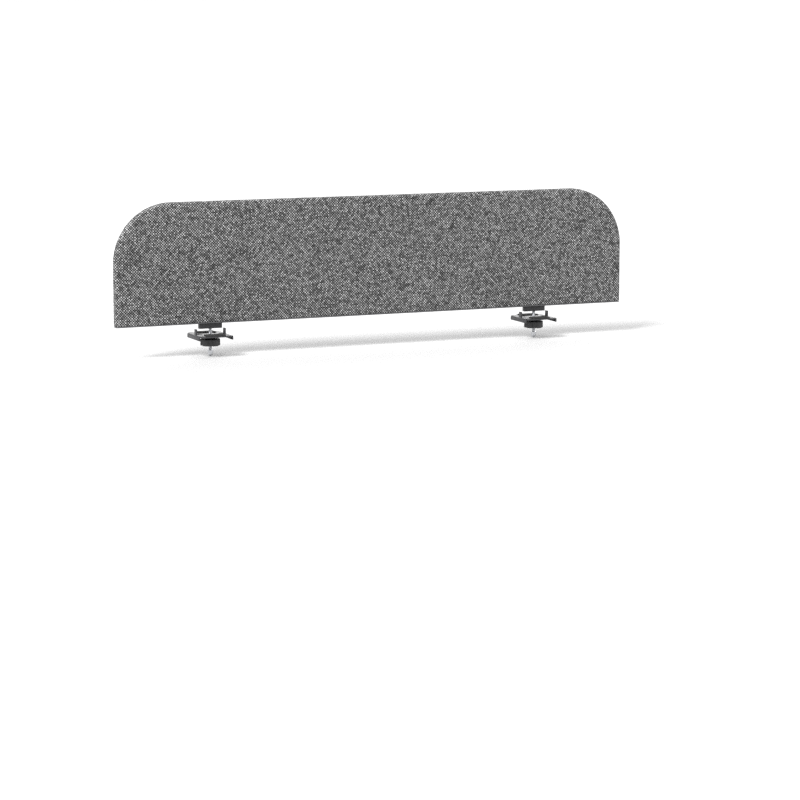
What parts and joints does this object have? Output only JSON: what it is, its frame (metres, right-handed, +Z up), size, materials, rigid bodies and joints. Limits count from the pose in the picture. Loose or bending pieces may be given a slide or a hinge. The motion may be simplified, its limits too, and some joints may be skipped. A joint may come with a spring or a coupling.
{
  "type": "desk privacy panel",
  "caption": "Long cloth-covered desk divider with rounded upper corners, held in the gap between desktops by screw clamps with sliding jaws and star knobs.",
  "frame": {"origin": "middle of the seat under the panel, level with the desktops", "axes": "+X along the panel, front cloth faces -Y, +Z up"},
  "size_m": [1.4, 0.11, 0.3877],
  "materials": {
    "cloth": "plain woven, light and dark grey yarns",
    "seam": "closed seam",
    "felt": "pressed felt",
    "foam": "soft foam",
    "board": "raw fibreboard",
    "rail_steel": "satin powder coat",
    "gasket": "matt",
    "zinc_steel": "zinc plated",
    "sleeve_steel": "yellow passivated",
    "nylon": "moulded, fine texture",
    "jaw_steel": "fine-textured powder coat",
    "pad_rubber": "ribbed, matt",
    "knob_plastic": "moulded, fine texture",
    "brass": "turned"
  },
  "bodies": {
    "panel": {"core_board": "board", "front_pin_layer": "felt", "rear_pin_layer": "felt", "edge_foam": "foam", "front_cover": "cloth", "rear_cover": "cloth", "edge_seam": "seam", "base_rail": "rail_steel", "rail_gasket": "gasket", "rail_screws": "zinc_steel", "stud_sleeves": "sleeve_steel", "stud_left": "zinc_steel", "stud_right": "zinc_steel", "gap_key_left": "nylon", "gap_key_right": "nylon", "key_screws": "zinc_steel", "end_nuts": "zinc_steel"},
    "jaw_left": {"jaw_left": "jaw_steel", "jaw_pad_front_left": "pad_rubber", "jaw_pad_rear_left": "pad_rubber", "jaw_washer_left": "zinc_steel"},
    "knob_left": {"knob_left": "knob_plastic", "knob_insert_left": "brass"},
    "jaw_right": {"jaw_right": "jaw_steel", "jaw_pad_front_right": "pad_rubber", "jaw_pad_rear_right": "pad_rubber", "jaw_washer_right": "zinc_steel"},
    "knob_right": {"knob_right": "knob_plastic", "knob_insert_right": "brass"}
  },
  "joints": [
    {"name": "jaw_left_slide", "type": "slide", "parent": "panel", "child": "jaw_left", "axis": [0, 0, 1], "range_m": [-0.01, 0.009]},
    {"name": "knob_left_turn", "type": "hinge", "parent": "jaw_left", "child": "knob_left", "pos_m": [-0.45, 0, -0.045], "axis": [0, 0, 1], "range_deg": [-2880, 2592]},
    {"name": "jaw_right_slide", "type": "slide", "parent": "panel", "child": "jaw_right", "axis": [0, 0, 1], "range_m": [-0.01, 0.009]},
    {"name": "knob_right_turn", "type": "hinge", "parent": "jaw_right", "child": "knob_right", "pos_m": [0.45, 0, -0.045], "axis": [0, 0, 1], "range_deg": [-2880, 2592]}
  ],
  "couplings": [
    {"joint": "knob_left_turn", "follows": "jaw_left_slide", "rad_per_m": 5026.5},
    {"joint": "knob_right_turn", "follows": "jaw_right_slide", "rad_per_m": 5026.5}
  ]
}
